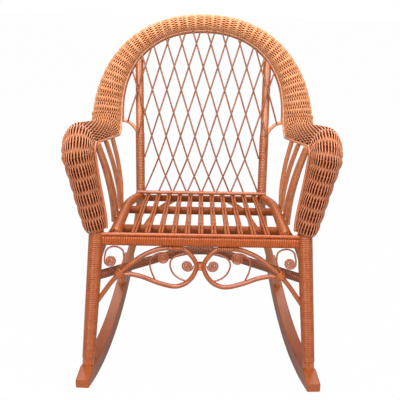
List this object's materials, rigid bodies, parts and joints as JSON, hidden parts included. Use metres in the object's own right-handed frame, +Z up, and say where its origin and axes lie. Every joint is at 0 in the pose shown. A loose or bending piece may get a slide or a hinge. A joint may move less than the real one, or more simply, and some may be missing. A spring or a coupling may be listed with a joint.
{
  "type": "wicker rocking chair",
  "caption": "Painted wicker rocking chair with a woven rolled back and arms, lattice back, reed seat, scrollwork under the seat and curved runners",
  "frame": {"origin": "on the floor, under the middle of the chair's box", "axes": "+Z up, the chair faces -Y, +X to the sitter's left"},
  "size_m": [0.668, 0.7604, 0.9145],
  "materials": {
    "painted_wood": "gloss orange paint",
    "rattan_pole": "gloss orange paint",
    "cane_binding": "gloss orange paint",
    "woven_cane": "gloss orange paint",
    "reed": "gloss orange paint",
    "steel": "zinc plated"
  },
  "bodies": {
    "root": {"back_hoop": "rattan_pole", "back_rail": "rattan_pole", "back_roll": "woven_cane", "bow_stretcher": "rattan_pole", "front_cross_rail": "rattan_pole", "front_nosing": "rattan_pole", "front_rail": "rattan_pole", "front_rail_wrap": "cane_binding", "inner_rim": "rattan_pole", "lattice_left_strands": "reed", "lattice_rail": "rattan_pole", "lattice_right_strands": "reed", "left_arm_rail": "rattan_pole", "left_arm_roll": "woven_cane", "left_arm_spindles": "reed", "left_back_brace": "reed", "left_back_post": "rattan_pole", "left_back_post_wrap": "cane_binding", "left_front_leg": "rattan_pole", "left_front_leg_wrap": "cane_binding", "left_rocker": "painted_wood", "left_seat_bracket": "rattan_pole", "left_shoulder_brace": "reed", "left_side_rail": "rattan_pole", "left_side_rail_wrap": "cane_binding", "left_skirt_arch": "reed", "left_skirt_curls": "reed", "left_skirt_scroll": "woven_cane", "outer_rim": "rattan_pole", "rear_cross_rail": "rattan_pole", "right_arm_rail": "rattan_pole", "right_arm_roll": "woven_cane", "right_arm_spindles": "reed", "right_back_brace": "reed", "right_back_post": "rattan_pole", "right_back_post_wrap": "cane_binding", "right_front_leg": "rattan_pole", "right_front_leg_wrap": "cane_binding", "right_rocker": "painted_wood", "right_seat_bracket": "rattan_pole", "right_shoulder_brace": "reed", "right_side_rail": "rattan_pole", "right_side_rail_wrap": "cane_binding", "right_skirt_arch": "reed", "right_skirt_curls": "reed", "right_skirt_scroll": "woven_cane", "rocker_screws": "steel", "seat_slat_01": "reed", "seat_slat_02": "reed", "seat_slat_03": "reed", "seat_slat_04": "reed", "seat_slat_05": "reed", "seat_slat_06": "reed", "seat_slat_07": "reed", "seat_slat_08": "reed", "seat_slat_09": "reed", "seat_slat_10": "reed", "seat_slat_11": "reed", "skirt_ties": "cane_binding", "slat_ties": "cane_binding"}
  },
  "joints": []
}
